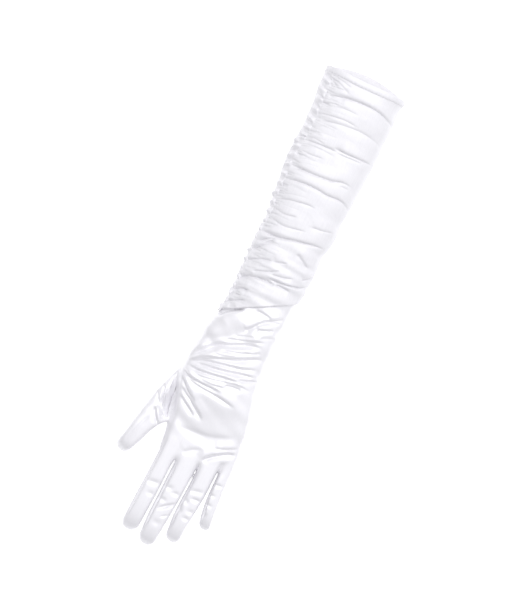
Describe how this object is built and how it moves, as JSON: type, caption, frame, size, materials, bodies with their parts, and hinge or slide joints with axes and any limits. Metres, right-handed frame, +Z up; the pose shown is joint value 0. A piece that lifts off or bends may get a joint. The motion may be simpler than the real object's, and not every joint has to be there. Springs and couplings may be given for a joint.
{
  "type": "long dress glove",
  "caption": "Elbow-length satin dress glove with a ruched arm, a set-in thumb and an open cuff, lying palm down.",
  "frame": {"origin": "on the surface it lies on, under the middle of the glove's bounding box", "axes": "+Y from the fingertips to the open cuff, -X to the thumb, +Z up from the palm to the back of the hand"},
  "size_m": [0.1118, 0.4678, 0.0348],
  "materials": {
    "satin": "white stretch satin, soft sheen",
    "ruched_satin": "white stretch satin, gathered into folds",
    "bunched_satin": "white stretch satin, bunched along a stitched seam"
  },
  "bodies": {
    "root": {"cuff_hem": "ruched_satin", "arm_sleeve": "ruched_satin", "gathered_seam": "bunched_satin", "hand": "satin", "thumb": "satin", "index_finger": "satin", "middle_finger": "satin", "ring_finger": "satin", "little_finger": "satin"}
  },
  "joints": []
}
